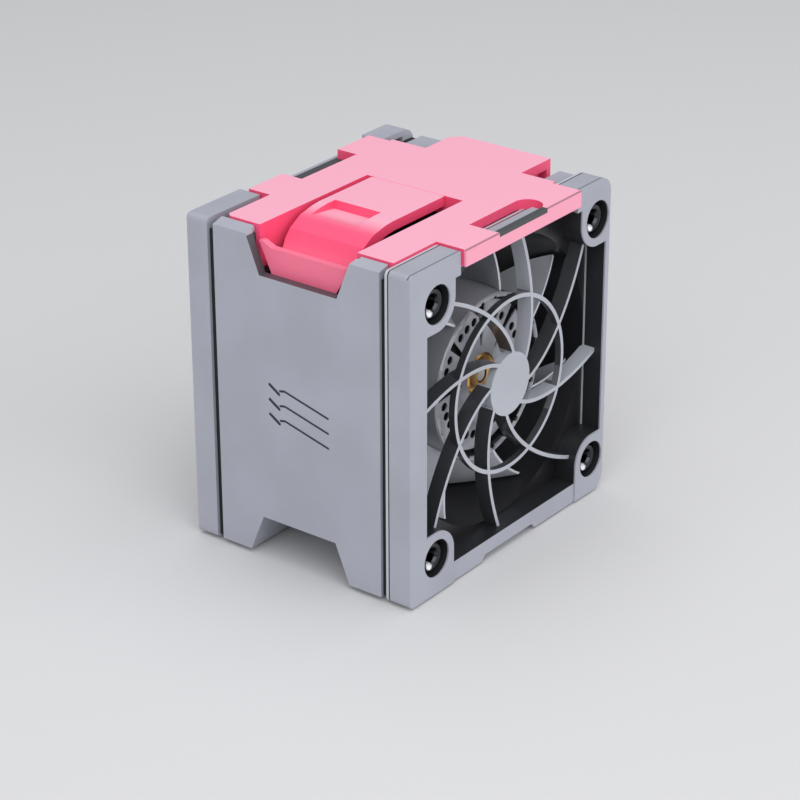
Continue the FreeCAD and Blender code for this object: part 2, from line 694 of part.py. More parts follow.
def top_cover():
    step = f"{FLANGE_BACK} + 0.2"
    tab_back = f"{REAR_FRONT} + tab_reach"
    corners = [(f"-{COVER_HALF}", "-lip_front"), (COVER_HALF, "-lip_front"), (COVER_HALF, step),
               (COVER_STEP, step), (COVER_STEP, "grip_front"), (GRIP_RIGHT, "grip_front"),
               (GRIP_RIGHT, "grip_back - 2"), (f"{GRIP_RIGHT} - 2", "grip_back"), (COVER_STEP, "grip_back"),
               (COVER_STEP, COVER_BACK), (COVER_HALF, COVER_BACK), (COVER_HALF, tab_back),
               ("tab_inner", tab_back), ("tab_inner", f"{COVER_BACK} + 0.5"),
               ("-tab_inner", f"{COVER_BACK} + 0.5"),
               ("-tab_inner", tab_back), (f"-{COVER_HALF}", tab_back), (f"-{COVER_HALF}", COVER_BACK),
               (f"{COVER_LEFT} + 0.9", COVER_BACK), (COVER_LEFT, f"{COVER_BACK} - 0.9"), (COVER_LEFT, step),
               (f"-{COVER_HALF}", step)]
    plate = prism("cover_plate", "XY", corners, DECK_TOP, COVER_TOP)
    lip = box("cover_lip", (f"-{COVER_HALF}", COVER_HALF), ("-lip_front", "-lip_front + lip_thickness"),
              (f"{COVER_TOP} - lip_height", COVER_TOP))
    slot_front = "-lip_front + lip_thickness"
    slot_radius = f"((slot_back - ({slot_front})) / 2)"
    slot = box("cover_slot", ("-slot_left", f"slot_right - {slot_radius}"), (slot_front, "slot_back"),
               (f"{DECK_TOP} - 1", f"{COVER_TOP} + 1"))
    slot_end = doc.addObject("Part::Cylinder", "cover_slot_end")
    bind(slot_end, "Radius", slot_radius)
    bind(slot_end, "Height", "cover_thickness + 2")
    bind(slot_end, "Placement.Base.x", f"slot_right - {slot_radius}")
    bind(slot_end, "Placement.Base.y", f"{slot_front} + {slot_radius}")
    bind(slot_end, "Placement.Base.z", f"{DECK_TOP} - 1")
    opening = box("latch_opening", (f"{COVER_LEFT} - 1", "latch_root + moving_gap"),
                  ("cavity_front", "cavity_back"),
                  (f"{DECK_TOP} - 10", f"{COVER_TOP} + 1"))
    drop = (f"{COVER_TOP} - grip_drop", DECK_TOP)
    rib_span = ("grip_front + 1.2", "grip_back - grip_wall")
    ribs = [box("grip_side", (f"{GRIP_RIGHT} - grip_wall", GRIP_RIGHT), ("grip_front", "grip_back - 2"),
                drop),
            box("grip_rear", (f"{DECK_RIGHT} + 0.3", f"{GRIP_RIGHT} - 2"),
                ("grip_back - grip_wall", "grip_back"), drop),
            box("grip_rib", (f"{DECK_RIGHT} + 0.6", f"{DECK_RIGHT} + 1.6"), rib_span, drop),
            box("grip_rib_outer", (f"{DECK_RIGHT} + 3", f"{DECK_RIGHT} + 4"), rib_span, drop)]
    walls = [cavity_side("cavity_rear_wall", "cavity_back", "cavity_back + cavity_wall"),
             cavity_side("cavity_front_wall", "cavity_front - cavity_wall", "cavity_front"),
             box("cavity_end_wall", ("latch_root + moving_gap", "latch_root + moving_gap + cavity_wall"),
                 ("cavity_front - cavity_wall", "cavity_back + cavity_wall"),
                 (f"{DECK_TOP} - 1.6", DECK_TOP))]
    whole = join("cover_body", [plate, lip] + ribs + walls)
    return node(cut("top_cover_part", whole, [slot, slot_end, opening]), "top_cover")


def latch():
    """The sprung tongue, its finger scoop and the lip that stands in the side wall's recess."""
    upper = [("latch_root", COVER_TOP), (f"{LEFT} + 18", COVER_TOP),
             (f"{LEFT} + 15.8", f"{COVER_TOP} - 0.2"),
             (f"{LEFT} + 12.4", f"{COVER_TOP} - 0.9"), (f"{LEFT} + 9.6", f"{COVER_TOP} - 2.5"),
             (f"{LEFT} + 7.8", f"{COVER_TOP} - 4.4"), (f"{LEFT} + 6", f"{COVER_TOP} - 6.0"),
             (PAD_BACK, f"{COVER_TOP} - 6.8")]
    lower = [(PAD_BACK, f"{COVER_TOP} - 8.4"), (f"{LEFT} + 6.6", f"{COVER_TOP} - 7.6"),
             (f"{LEFT} + 9", f"{COVER_TOP} - 6.0"), (f"{LEFT} + 11", f"{COVER_TOP} - 4.2"),
             (f"{LEFT} + 13.4", f"{COVER_TOP} - 2.9"), (f"{LEFT} + 16.4", f"{COVER_TOP} - 2.1"),
             (f"{LEFT} + 18.4", f"{COVER_TOP} - cover_thickness"),
             ("latch_root", f"{COVER_TOP} - cover_thickness")]
    tongue = prism("tongue", "XZ", upper + lower, "tongue_front", "tongue_back")
    sides = [("tongue_front", f"{COVER_TOP} + 1"), ("tongue_front", f"{COVER_TOP} - 6"),
             ("tongue_front + 1", f"{COVER_TOP} - 9"), ("tongue_back - 2", f"{COVER_TOP} - 9"),
             ("tongue_back", f"{COVER_TOP} - 4"), ("tongue_back", f"{COVER_TOP} + 1")]
    envelope = prism("tongue_sides", "YZ", sides, LEFT, "latch_root + 1")
    floor = [(f"{SCOOP_START} + 1.2", f"{COVER_TOP} - 1.5"), (f"{LEFT} + 12", f"{COVER_TOP} - 1.5"),
             (f"{LEFT} + 12", f"{COVER_TOP} - 3.9"), (f"{LEFT} + 16", f"{COVER_TOP} - 3.4"),
             (f"{SCOOP_START} + 1.2", f"{COVER_TOP} - 3.2")]
    thick = prism("scoop_floor", "XZ", floor, "tongue_front + 3", "tongue_back - 1")
    body = join("tongue_body", [common("tongue_trimmed", tongue, envelope), thick])
    hollow = [(SCOOP_START, f"{COVER_TOP} + 1"),
              (f"{SCOOP_START} - 0.6", f"{COVER_TOP} - scoop_depth - 0.4"),
              (f"{LEFT} + 13", f"{COVER_TOP} - 0.7"), (f"{LEFT} + 13", f"{COVER_TOP} + 1")]
    scoop = prism("scoop", "XZ", hollow, "tongue_front + 4.3", "tongue_back - 1.9")
    lip_top = f"{TOP} - pad_top_drop"
    lip = [("cavity_back - moving_gap", f"{lip_top} + pad_ear"),
           ("cavity_back - moving_gap - 0.8", f"{lip_top} + pad_ear"),
           ("cavity_back - moving_gap - 2.8", lip_top), ("cavity_front + 2.3", lip_top),
           ("cavity_front + 1.1", f"{lip_top} + pad_ear"), ("cavity_front + 0.7", f"{lip_top} + pad_ear"),
           ("wall_recess_centre - 6.8", f"{TOP} - 8.5"), ("wall_recess_centre + 7.5", f"{TOP} - 8.5")]
    pad_plate = prism("latch_pad", "YZ", lip, PAD_FACE, PAD_BACK)
    return node(join("latch_part", [cut("tongue_scooped", body, [scoop]), pad_plate]), "latch")


def moved_copies(name, body, places):
    """Copies of one body at other places, as a group of separate solids."""
    copies = []
    for index, (x, z) in enumerate(places):
        copy = doc.addObject("Part::Feature", f"{name}_{index}")
        copy.Shape = body.Shape.translated(FreeCAD.Vector(value(x), 0, value(z)))
        copies.append(copy)
    return group(name + "_group", copies)


def eyelets():
    """Hollow rivets that hold the frames to the casing, one in each corner."""
    front_end = f"{CASE_FRONT} + post_length"
    front = turned("front_eyelet", [
        ("eyelet_bore", "hole_depth - 0.6"), ("eyelet_bore + 0.3", "hole_depth - 1.1"),
        ("2.5", "hole_depth - 1.3"),
        ("3.1", "hole_depth - 0.9"), ("hole_radius - 0.2", "hole_depth"), ("eyelet_radius", "hole_depth"),
        ("eyelet_radius", front_end), ("eyelet_radius + 0.6", front_end),
        ("eyelet_radius + 0.3", f"{front_end} + 0.5"),
        ("eyelet_bore", f"{front_end} + 0.2")])
    rear_face = f"{REAR_BACK} - hole_depth"
    rear_end = f"{CASE_BACK} - post_length"
    rear = turned("rear_eyelet", [
        ("eyelet_bore", f"{rear_face} + 0.3"), ("eyelet_bore + 0.3", f"{rear_face} + 0.8"),
        ("2.3", f"{rear_face} + 0.8"),
        ("rear_hole_radius - 0.1", rear_face), ("eyelet_radius", rear_face), ("eyelet_radius", rear_end),
        ("eyelet_radius + 0.6", rear_end), ("eyelet_radius + 0.3", f"{rear_end} - 0.5"),
        ("eyelet_bore", f"{rear_end} - 0.2")])
    doc.recompute()
    node(moved_copies("front_eyelets", front, four_corners()), "front_eyelets")
    node(moved_copies("rear_eyelets", rear, four_corners()), "rear_eyelets")


def impeller():
    inner = "hub_radius - hub_wall"
    hub = turned("impeller_hub", [
        ("bush_radius", "hub_face"), ("petal_radius", "hub_face"), ("petal_radius", "hub_face + 1.4"),
        ("rim_inner", "hub_face + 1.4"),
        ("rim_inner", "hub_front + 0.2"), ("rim_inner + 0.2", "hub_front"),
        ("hub_radius - 0.2", "hub_front"),
        ("hub_radius", "hub_front + 0.3"), ("hub_radius", "hub_back"), (inner, "hub_back"),
        (inner, YOKE_FRONT),
        ("bush_radius + 1.7", YOKE_FRONT), ("bush_radius + 1.7", "bush_back"),
        ("bush_radius", "bush_back")])
    gap_sketch = sketch_on(hub, "petal_gap", "XZ", "hub_face - 1")
    polygon(gap_sketch, [("bush_radius + 1.6", "-0.2"), ("rim_inner", "-1.1"), ("rim_inner", "1.1"),
                         ("bush_radius + 1.6", "0.2")])
    repeat(hub, pocket(hub, gap_sketch, "2.4"), "8")
    lobe_sketch = sketch_on(hub, "rim_lobe", "XZ", "hub_front - 1")
    circle(lobe_sketch, "0.55", "rim_inner * cos(7.5 deg)", "rim_inner * sin(7.5 deg)")
    repeat(hub, pocket(hub, lobe_sketch, "hub_face - hub_front + 2.4"), "24")
    for step in (-1, 0, 1):
        angle = 22.5 + 11 * step
        hole_sketch = sketch_on(hub, f"petal_hole_{step + 1}", "XZ", "hub_face - 1")
        circle(hole_sketch, "0.85", f"(petal_radius - 2.9) * cos({angle} deg)",
               f"(petal_radius - 2.9) * sin({angle} deg)")
        repeat(hub, pocket(hub, hole_sketch, "2.2"), "8")
    blades = foils(int(value("blade_count")), value("hub_radius - hub_wall / 2"),
                   value(f"{DUCT} - tip_clearance"),
                   value("blade_front"), value("blade_back"), value("blade_sweep"), value("blade_wrap"),
                   value("blade_bow"), value("blade_thickness"))
    wings = feature("impeller_blades", blades[0].multiFuse(blades[1:]))
    return node(join("impeller_part", [hub, wings]), "impeller")


def ring(name, outer, inner, front, back):
    return node(turned(name + "_body", [(inner, front), (outer, front), (outer, back), (inner, back)]),
                name)


def rotor_parts():
    node(turned("bush_body", [("shaft_radius", "hub_face - 0.2"), ("bush_radius - 0.4", "hub_face - 0.2"),
                              ("bush_radius", "hub_face + 0.2"), ("bush_radius", "bush_back"),
                              ("shaft_radius", "bush_back")]), "rotor_bush")
    node(turned("yoke_body", [("bush_radius + 1.9", YOKE_FRONT), (f"{YOKE_RADIUS} - 0.4", YOKE_FRONT),
                              (YOKE_RADIUS, f"{YOKE_FRONT} + 0.4"),
                              (YOKE_RADIUS, "yoke_back"), (f"{YOKE_RADIUS} - yoke_wall", "yoke_back"),
                              (f"{YOKE_RADIUS} - yoke_wall", f"{YOKE_FRONT} + yoke_wall"),
                              ("bush_radius + 1.9", f"{YOKE_FRONT} + yoke_wall")]), "rotor_yoke")
    ring("ring_magnet", f"{YOKE_RADIUS} - yoke_wall", f"{YOKE_RADIUS} - yoke_wall - magnet_thickness",
         "magnet_front", "magnet_back")
    groove = "rear_bearing + bearing_width"
    node(turned("shaft_body", [("0", "hub_face"), ("shaft_radius - 0.3", "hub_face"),
                               ("shaft_radius", "hub_face + 0.3"),
                               ("shaft_radius", groove), ("shaft_radius - 0.3", groove),
                               ("shaft_radius - 0.3", f"{groove} + 0.5"),
                               ("shaft_radius", f"{groove} + 0.5"), ("shaft_radius", "shaft_back - 0.4"),
                               ("shaft_radius - 0.4", "shaft_back"), ("0", "shaft_back")]), "shaft")
    clip = turned("clip_ring", [("shaft_radius - 0.3", groove), ("shaft_radius + 0.9", groove),
                                ("shaft_radius + 0.9", f"{groove} + 0.5"),
                                ("shaft_radius - 0.3", f"{groove} + 0.5")])
    node(cut("clip_part", clip, [box("clip_gap", ("0", "5"), ("30", "40"), ("-0.7", "0.7"))]),
         "retaining_clip")
    node(turned("washer_body", [("shaft_radius", "bush_back"), ("shaft_radius", "bush_back + 0.2"),
                                ("inner_ring_radius - 0.1", "front_bearing"),
                                ("inner_ring_radius", "front_bearing - 0.1"),
                                ("shaft_radius + 0.3", "bush_back")]), "preload_washer")


def bearing(end, front):
    """One ball bearing: the inner ring and its balls turn with the shaft."""
    back = f"{front} + bearing_width"
    pitch = "inner_ring_radius + ball_radius"
    ring(f"{end}_bearing_outer", "tube_bore", f"{pitch} + ball_radius + race_clearance", front, back)
    ring(f"{end}_bearing_inner", "inner_ring_radius", "shaft_radius", front, back)
    balls = []
    for turn in range(6):
        ball = doc.addObject("Part::Sphere", f"{end}_ball_{turn}")
        bind(ball, "Radius", "ball_radius")
        bind(ball, "Placement.Base.x", f"({pitch}) * cos({60 * turn} deg)")
        bind(ball, "Placement.Base.y", f"{front} + bearing_width / 2")
        bind(ball, "Placement.Base.z", f"({pitch}) * sin({60 * turn} deg)")
        balls.append(ball)
    node(group(f"{end}_balls", balls), f"{end}_bearing_balls")


def pole_star(name, outer, front, back):
    """A six-pole lamination outline, for the core and its end insulators."""
    body = turned(name + "_body", [("tube_radius", front), (outer, front), (outer, back),
                                   ("tube_radius", back)])
    sketch = sketch_on(body, name + "_slot", "XZ", f"{front} - 1")
    inner = "(tube_radius + 1.5)"
    shoe = "(core_radius - 1.5)"
    side = [(f"{reach} * cos(30 deg) + pole_half_width * sin(30 deg)",
             f"{reach} * sin(30 deg) - pole_half_width * cos(30 deg)")
            for reach in (inner, shoe)]
    (near, near_up), (far, far_up) = side
    polygon(sketch, [(near, f"-({near_up})"), (far, f"-({far_up})"), (shoe, "-0.6"),
                     ("core_radius + 2", "-0.6"),
                     ("core_radius + 2", "0.6"), (shoe, "0.6"), (far, far_up), (near, near_up)])
    repeat(body, pocket(body, sketch, f"{back} - ({front}) + 2"), "6")
    return node(body, name)


def coils():
    front = "core_front - insulator_thickness"
    back = "core_back + insulator_thickness"
    windings = []
    outer = box("coil_outer", ("tube_radius + 2", "core_radius - 1.8"),
                (f"{front} - coil_thickness", f"{back} + coil_thickness"),
                ("-pole_half_width - coil_thickness", "pole_half_width + coil_thickness"))
    inner = box("coil_inner", ("0", "20"), (front, back), ("-pole_half_width", "pole_half_width"))
    winding = cut("coil", outer, [inner])
    doc.recompute()
    for turn in range(6):
        copy = doc.addObject("Part::Feature", f"coil_{turn}")
        copy.Shape = winding.Shape.rotated(FreeCAD.Vector(), FreeCAD.Vector(0, 1, 0), 30 + 60 * turn)
        windings.append(copy)
    node(group("coil_group", windings), "stator_coils")


def stator_parts():
    core_end = "core_front - insulator_thickness"
    node(turned("tube_body", [("tube_bore", "tube_front"), ("tube_radius", "tube_front"),
                              ("tube_radius", "base_disc_front - 0.4"),
                              ("tube_bore", "base_disc_front - 0.4"), ("tube_bore", "rear_bearing"),
                              ("tube_bore - 0.4", "rear_bearing"),
                              ("tube_bore - 0.4", "front_bearing + bearing_width"),
                              ("tube_bore", "front_bearing + bearing_width")]), "bearing_tube")
    pole_star("stator_core", "core_radius", "core_front", "core_back")
    pole_star("insulator_front", "(core_radius - 0.3)", core_end, "core_front")
    pole_star("insulator_rear", "(core_radius - 0.3)", "core_back", "core_back + insulator_thickness")
    coils()
    ring("driver_board", "board_radius", "tube_radius", "board_front", "board_front + board_thickness")
    back = "board_front + board_thickness"
    chips = [box("driver_chip", ("7", "11"), (back, f"{back} + 0.9"), ("-2.5", "2.5")),
             box("sensor_chip", ("-11", "-8.5"), (back, f"{back} + 0.7"), ("-1", "1")),
             box("resistor_one", ("-4", "-2"), (back, f"{back} + 0.5"), ("8", "9.2")),
             box("resistor_two", ("1", "3"), (back, f"{back} + 0.5"), ("8.4", "9.6"))]
    node(group("chips", chips), "board_components")


def connector():
    outer = box("connector_outer", (CONNECTOR_LEFT, CONNECTOR_RIGHT), ("connector_front", REAR_BACK),
                (CONNECTOR_LOW, CONNECTOR_TOP))
    inner = box("connector_cavity", (f"{CONNECTOR_LEFT} + 0.9", f"{CONNECTOR_RIGHT} - 0.9"),
                ("connector_front + 4", f"{REAR_BACK} + 1"), (f"{CONNECTOR_LOW} + 0.9",
                                                              f"{CONNECTOR_TOP} - 0.8"))
    node(cut("connector_part", outer, [inner]), "connector_housing")
    middle = f"(({CONNECTOR_LOW} + {CONNECTOR_TOP}) / 2)"
    pins = []
    for index in range(4):
        x = f"(({CONNECTOR_LEFT} + {CONNECTOR_RIGHT}) / 2 + {index - 1.5} * 2)"
        pins.append(drum(f"pin_{index}", "pin_radius", "connector_front + 4", f"{REAR_BACK} - 1.2", x,
                         middle))
    node(group("pins", pins), "connector_pins")


def write_parts():
    doc.recompute()
    for item in doc.Objects:
        if {"Invalid", "Error"} & set(item.State):
            raise RuntimeError(f"{item.Name}: {item.State}")
    unsound = [item.Label for item in nodes
               if item.Shape.isNull() or not item.Shape.isValid() or item.Shape.Volume <= 0]
    if unsound:
        raise RuntimeError(f"no sound shape: {unsound}")
    os.makedirs("parts", exist_ok=True)
    for item in nodes:
        item.Shape.exportStep(f"parts/{item.Label}.step")
        size = item.Shape.BoundBox
        print(f"{item.Label}: {len(item.Shape.Solids)} solids, {item.Shape.Volume:.1f} mm3, "
              f"x {size.XMin:.2f} {size.XMax:.2f} y {size.YMin:.2f} {size.YMax:.2f} "
              f"z {size.ZMin:.2f} {size.ZMax:.2f}")


window = window_space()
front_frame(window)
front_guard(window)
fan_frame()
motor_mount()
isolator("front_isolator", FLANGE_BACK, CASE_FRONT, RIGHT)
isolator("rear_isolator", CASE_BACK, REAR_FRONT, REAR_RIGHT)
casing()
rear_frame()
top_cover()
latch()
eyelets()
impeller()
rotor_parts()
bearing("front", "front_bearing")
bearing("rear", "rear_bearing")
stator_parts()
connector()
write_parts()
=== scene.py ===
import math
import bpy
from mathutils import Matrix, Vector


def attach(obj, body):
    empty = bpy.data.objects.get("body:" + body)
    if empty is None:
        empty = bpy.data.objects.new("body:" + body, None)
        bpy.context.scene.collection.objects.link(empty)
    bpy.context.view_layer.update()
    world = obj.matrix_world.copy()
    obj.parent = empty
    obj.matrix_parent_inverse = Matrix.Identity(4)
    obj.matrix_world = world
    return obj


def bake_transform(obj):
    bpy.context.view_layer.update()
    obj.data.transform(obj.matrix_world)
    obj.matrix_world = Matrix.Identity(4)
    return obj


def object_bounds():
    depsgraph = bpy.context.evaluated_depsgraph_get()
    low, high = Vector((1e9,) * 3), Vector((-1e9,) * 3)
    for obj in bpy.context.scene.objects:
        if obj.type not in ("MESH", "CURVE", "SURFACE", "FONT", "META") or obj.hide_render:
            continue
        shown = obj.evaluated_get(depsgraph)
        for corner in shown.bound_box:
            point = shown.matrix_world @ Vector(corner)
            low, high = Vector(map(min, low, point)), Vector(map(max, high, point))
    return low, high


MM = 0.001

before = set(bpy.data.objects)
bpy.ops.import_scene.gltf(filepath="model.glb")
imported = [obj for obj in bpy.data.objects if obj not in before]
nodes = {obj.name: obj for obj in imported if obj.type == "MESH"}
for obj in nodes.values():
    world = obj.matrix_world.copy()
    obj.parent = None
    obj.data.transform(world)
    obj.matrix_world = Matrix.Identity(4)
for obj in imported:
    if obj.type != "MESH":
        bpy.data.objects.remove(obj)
cad_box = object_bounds()

# Camera, fitted to the photograph on the four corner holes
CAMERA_AZIMUTH = -52.54
CAMERA_ELEVATION = 25.51
CAMERA_ROLL = -0.20
CAMERA_PLACE = Vector((-366.30, -253.24, 209.56)) * MM
CAMERA_CLIP = 0.01
LENS = 120.5
SENSOR = 36.0

# Colours of the plastics and the rubber, linear
GREY = (0.375, 0.390, 0.450)
# Painted highlight: the light line at the rear of the front frame's window walls and the light rim of the
# duct's flange
HIGHLIGHT_GREY = (0.50, 0.52, 0.57)
GUARD_GREY = (0.42, 0.44, 0.49)
DUCT_BLACK = (0.012, 0.012, 0.014)
CHIP_BLACK = (0.012, 0.012, 0.013)
RUBBER_BLACK = (0.008, 0.008, 0.009)
# The impeller's grey, lightened to stand in for the blades' gloss highlights: partly painted highlight
ROTOR_GREY_AND_HIGHLIGHT = (0.74, 0.77, 0.84)
HUB_GREY = (0.36, 0.365, 0.41)
PINK = (0.93, 0.085, 0.200)
# Painted light: the pink paled where the cover faces up, on its front lip and on the latch's top and foot
HIGHLIGHT_PINK = (0.93, 0.42, 0.55)
INSULATOR_CREAM = (0.62, 0.60, 0.52)
CONNECTOR_CREAM = (0.66, 0.65, 0.58)

# Colours of the regions that lie in shade or are marked
SHADE = (0.018, 0.019, 0.022)
ARROW_INK = (0.015, 0.016, 0.028)
LIP_SHADE = (0.10, 0.03, 0.045)
NOTCH_SHADE = (0.055, 0.060, 0.062)

# Colours of the metals, the magnet and the board
STEEL = (0.62, 0.62, 0.61)
RIVET_SHADE = (0.055, 0.057, 0.064)
RIVET_LIGHT = (0.95, 0.96, 1.0)
GROUND_STEEL = (0.50, 0.50, 0.49)
SPRING_STEEL = (0.20, 0.20, 0.22)
DRAWN_STEEL = (0.50, 0.50, 0.51)
SHEET_STEEL = (0.32, 0.32, 0.33)
SHEET_DARK = (0.10, 0.10, 0.11)
SHEET_LIGHT = (0.42, 0.42, 0.43)
BRASS = (0.74, 0.42, 0.14)
COPPER = (0.56, 0.20, 0.06)
FERRITE = (0.035, 0.032, 0.030)
BOARD_GREEN = (0.01, 0.10, 0.04)
BOARD_DARK = (0.008, 0.085, 0.03)
BOARD_LIGHT = (0.012, 0.12, 0.045)
TRACE_GREEN = (0.03, 0.20, 0.08)

# Roughness of the plastics
SHELL_ROUGHNESS = 0.36
PINK_ROUGHNESS = 0.44

# The stretch of the noise over which a surface's tone goes from its darker to its lighter end
TONE_STEP = (0.3, 0.7)

# The front frame in millimetres: its window's half sizes, how far out its holes lie, and its top
WINDOW_SIDE = 28.0
WINDOW_TOP = 28.3
WINDOW_MARGIN = 0.08
HOLE = 25.0
HOLE_RADIUS = 3.7
HOLE_MARGIN = 0.1
TOP = 32.2
TOP_MARGIN = 0.1

# Painted shade in the front frame: where it starts, its painted light line at the rear and the painted line
# of shade across the top
SHADE_START = 0.32
LIGHT_LINE_START = 4.2
LIGHT_LINE_WIDTH = 0.2
SHADE_LINE_FRONT = 0.42
SHADE_LINE_BACK = 0.66
SHADE_LINE_STRENGTH = 0.8

# The shaded strip of the rear frame's top, between the cover's two rear tabs
STRIP_LEFT = -9.0
STRIP_RIGHT = 12.0
STRIP_BACK = 49.65
STRIP_DROP = 2.3
STRIP_STRENGTH = 0.9

# The guard's spiral: how far an arm turns as its radius grows, and where it crosses the ring
GUARD_TWIST = math.radians(31.0)
GUARD_KNOT = 16.9

# The two arms whose sides catch the light, how far round each that reaches in radians, and the shade
LIT_ARMS = (math.radians(67.5), math.radians(-22.5))
ARM_REACH = 0.26
DISC_RADIUS = 6.3
RING_HALF = 0.5
RING_STRENGTH = 0.75
ARM_STRENGTH = 0.95

# The impeller's hub face: the petals' plane and radius, and the scalloped rim round them
PETAL_PLANE = 8.5
PETAL_RADIUS = 14.5
PETAL_MARGIN = 0.05
PETAL_DEPTH = 0.25
RIM_PLANE = 6.8
RIM_INNER = 15.95
SCALLOP_DEPTH = 0.35
HUB_RADIUS = 16.3
HUB_MARGIN = 0.15

# The rim of the duct's flange, which shows between the grooves and carries a painted highlight
FLANGE_LEFT = -32.5
FLANGE_TOP = 30.9
FLANGE_BASE = -31.7
FLANGE_FRONT = 4.86
FLANGE_BACK = 5.6

# One airflow arrow on the left wall as strokes between (y, z) points with their half widths
ARROW_STROKES = (
    ((18.4, 0.78), (28.35, 3.32), 0.20),
    ((28.35, 3.32), (29.4, 3.1), 0.20),
    ((31.8, 3.78), (29.7, 2.42), 0.30),
)

# How far each arrow is dropped, how soft its strokes end, and how it is cut into the wall's face
ARROW_DROPS = (0.0, 2.98, 5.95)
STROKE_OUTSIDE = 0.07
STROKE_INSIDE = 0.04
WALL_FACE = -32.9
ENGRAVED_STRENGTH = 0.6
ENGRAVED_DEPTH = 0.0002

# The edges of the latch's recess in the left wall
RECESS_LOW = 23.0
RECESS_HIGH = 31.6
RECESS_FRONT = 12.0
RECESS_BACK = 37.4
RECESS_STRENGTH = 0.85

# A face counts as a side while the direction that it faces has less than this along the axis
GUARD_LEAN = 0.5
RECESS_LEAN = 0.6

# The cover: what counts as facing up for its painted light, its front lip, and the notch and the dark rim
# painted there as shade
COVER_LEVEL = (0.93, 0.999)
LIP_BACK = -0.5
LIP_STRENGTH = 0.85
NOTCH_SHIFT = 0.5
NOTCH_HALF = 7.4
NOTCH_BACK = 0.25
NOTCH_BASE = 32.25
LIP_RIM_BACK = -0.6
LIP_RIM_BASE = 32.85
LIP_RIM_STRENGTH = 0.55

# The latch's painted light: what counts as facing up, and the stretches of X where its colour goes over
TONGUE_LEVEL = (0.75, 0.85)
TONGUE_CURVE = (-21.5, -15.6)
TONGUE_FOOT = (-23.5, -29.0)
FOOT_STRENGTH = 0.28

# The light spot on each rivet: how far left and low of its axis, and its outer and inner radius
SPOT_LEFT = 0.85
SPOT_LOW = 1.45
SPOT_OUTER = 1.25
SPOT_INNER = 0.65

# In millimetres: the living hinge across the latch's root, and the front frame's bar in the cover's slot
HINGE_LOW = (0.2, 17.9, 31.5)
HINGE_HIGH = (1.0, 33.8, 33.06)
HINGE_CUTS = 6
BAR_LOW = (-6.6, 1.3, 31.0)
BAR_HIGH = (7.9, 3.2, 32.15)
BAR_EDGE = 0.2

# Floor and soft studio light: each lamp's name, place, panel size in metres and power in watts
FLOOR_SIZE = 6
FLOOR_GAP = 0.0005
FLOOR_GREY = (0.66, 0.66, 0.67)
LAMP_TARGET = (0, 0.02, 0)
LAMPS = (
    ("key", (-0.55, -0.42, 0.62), (0.9, 0.9), 5.0),
    ("side", (-0.80, 0.20, 0.24), (0.6, 0.5), 0.9),
    ("front", (0.18, -0.80, 0.32), (0.9, 0.65), 2.9),
    ("top", (0.1, 0.05, 0.9), (1.0, 1.0), 4.2),
)
WORLD_TINT = (0.92, 0.94, 0.98)
WORLD_LEVEL = 0.32

# Where the colour mixing node keeps its factor, its two colours and its result
MIX_FACTOR = 0
MIX_FIRST = 6
MIX_SECOND = 7
MIX_RESULT = 2


def shader(name, colour, roughness, metallic=0.0, coat=0.0):
    """A new material with its node tree and its Principled shader set up."""
    material = bpy.data.materials.new(name)
    material.use_nodes = True
    tree = material.node_tree
    surface = tree.nodes["Principled BSDF"]
    surface.inputs["Base Color"].default_value = (*colour, 1)
    surface.inputs["Roughness"].default_value = roughness
    surface.inputs["Metallic"].default_value = metallic
    surface.inputs["Coat Weight"].default_value = coat
    return material, tree, surface


def add_node(tree, kind, **values):
    item = tree.nodes.new(kind)
    for name, setting in values.items():
        setattr(item, name, setting)
    return item


def feed(tree, socket, source):
    """Give a socket a number, a colour or another node's output."""
    if isinstance(source, bpy.types.NodeSocket):
        tree.links.new(source, socket)
    elif isinstance(source, tuple) and len(socket.default_value) == 4:
        socket.default_value = (*source, 1)
    else:
        socket.default_value = source


def calc(tree, operation, *sources):
    item = add_node(tree, "ShaderNodeMath", operation=operation)
    for socket, source in zip(item.inputs, sources):
        feed(tree, socket, source)
    return item.outputs[0]


def mixed(tree, factor, first, second):
    """The first colour where the factor is 0, the second where it is 1."""
    item = add_node(tree, "ShaderNodeMix", data_type="RGBA")
    feed(tree, item.inputs[MIX_FACTOR], factor)
    feed(tree, item.inputs[MIX_FIRST], first)
    feed(tree, item.inputs[MIX_SECOND], second)
    return item.outputs[MIX_RESULT]


def smooth(tree, source, low, high):
    """A soft step from 0 at low to 1 at high, where high may be the smaller one."""
    item = add_node(tree, "ShaderNodeMapRange", interpolation_type="SMOOTHSTEP")
    feed(tree, item.inputs["Value"], source)
    item.inputs["From Min"].default_value = low
    item.inputs["From Max"].default_value = high
    return item.outputs["Result"]


def axes(tree, source):
    """The three parts of a vector."""
    parts = add_node(tree, "ShaderNodeSeparateXYZ")
    tree.links.new(source, parts.inputs[0])
    return parts.outputs


def place(tree):
    """The object's own coordinates in millimetres, by axis."""
    spot = add_node(tree, "ShaderNodeTexCoord")
    scaled = add_node(tree, "ShaderNodeVectorMath", operation="SCALE")
    tree.links.new(spot.outputs["Object"], scaled.inputs[0])
    scaled.inputs["Scale"].default_value = 1 / MM
    return axes(tree, scaled.outputs["Vector"])


def facing(tree):
    """The direction that the surface faces, by axis."""
    return axes(tree, add_node(tree, "ShaderNodeNewGeometry").outputs["Normal"])


def over(tree, source, limit):
    return calc(tree, "GREATER_THAN", source, limit)


def under(tree, source, limit):
    return calc(tree, "LESS_THAN", source, limit)


def both(tree, first, second):
    return calc(tree, "MULTIPLY", first, second)


def either(tree, first, second):
    return calc(tree, "MAXIMUM", first, second)


def between(tree, source, low, high):
    return both(tree, over(tree, source, low), under(tree, source, high))


def minus(tree, first, second):
    return calc(tree, "SUBTRACT", first, second)


def unsigned(tree, source):
    return calc(tree, "ABSOLUTE", source)


def length(tree, first, second):
    """The length of a line from its two parts at right angles."""
    squares = calc(tree, "ADD", both(tree, first, first), both(tree, second, second))
    return calc(tree, "SQRT", squares)


